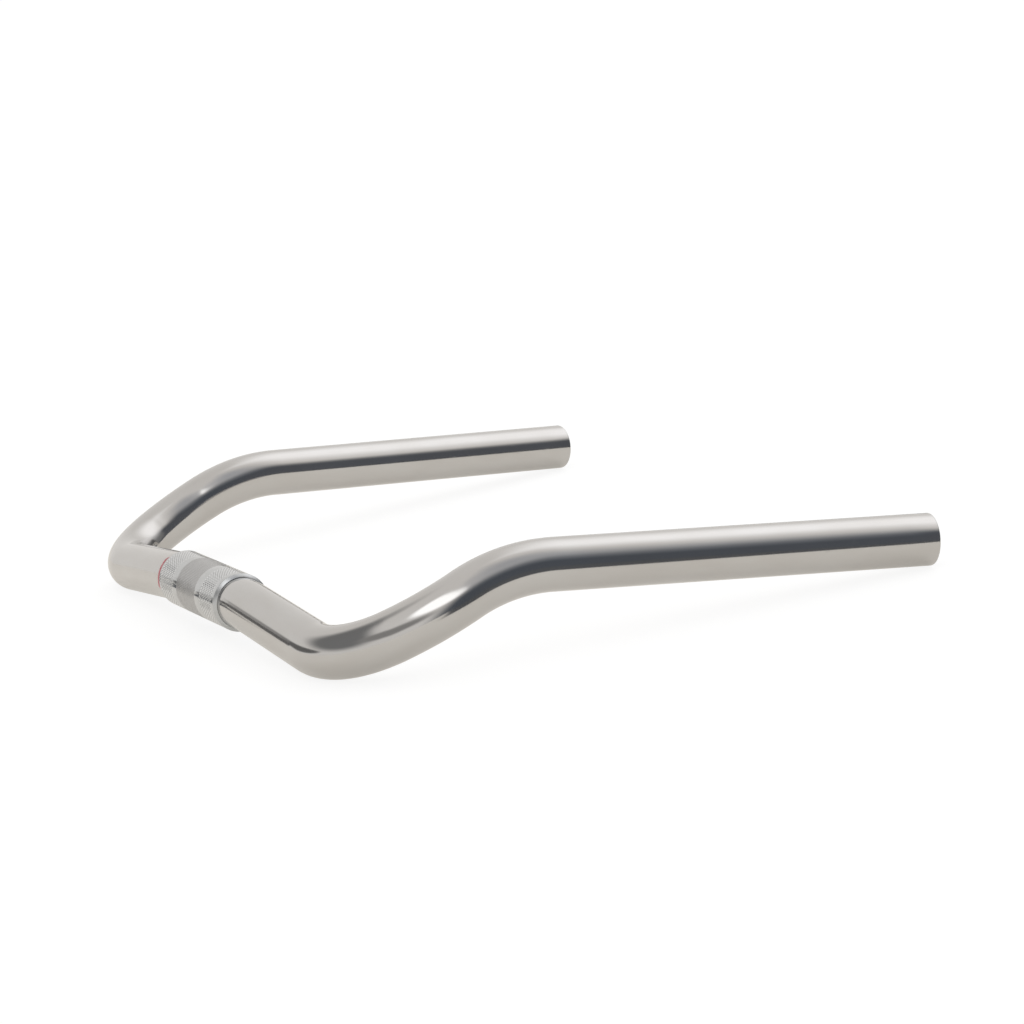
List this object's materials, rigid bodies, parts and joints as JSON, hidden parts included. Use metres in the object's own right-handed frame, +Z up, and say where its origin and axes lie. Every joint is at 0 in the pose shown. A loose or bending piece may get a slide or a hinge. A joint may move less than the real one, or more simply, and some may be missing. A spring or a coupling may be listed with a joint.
{
  "type": "swept-back bicycle handlebar",
  "caption": "Swept-back bicycle handlebar of one bent round tube with a knurled clamp sleeve bonded to its straight middle and plain open grip ends.",
  "frame": {"origin": "the middle of the bar, on the clamp's axis; the sleeve reaches 35 mm to the left of it and 39 mm to the right", "axes": "+X along the clamp's axis towards the rider's right, +Y forwards as ridden, +Z up; the grips sweep back along -Y, and the rider's left grip is the nearer one in the picture"},
  "size_m": [0.38, 0.2706, 0.0449],
  "materials": {
    "polished_aluminium": "polished",
    "knurled_aluminium": "knurled, satin between polished ends"
  },
  "bodies": {
    "root": {"bar_tube": "polished_aluminium", "clamp_sleeve": "knurled_aluminium"}
  },
  "joints": []
}
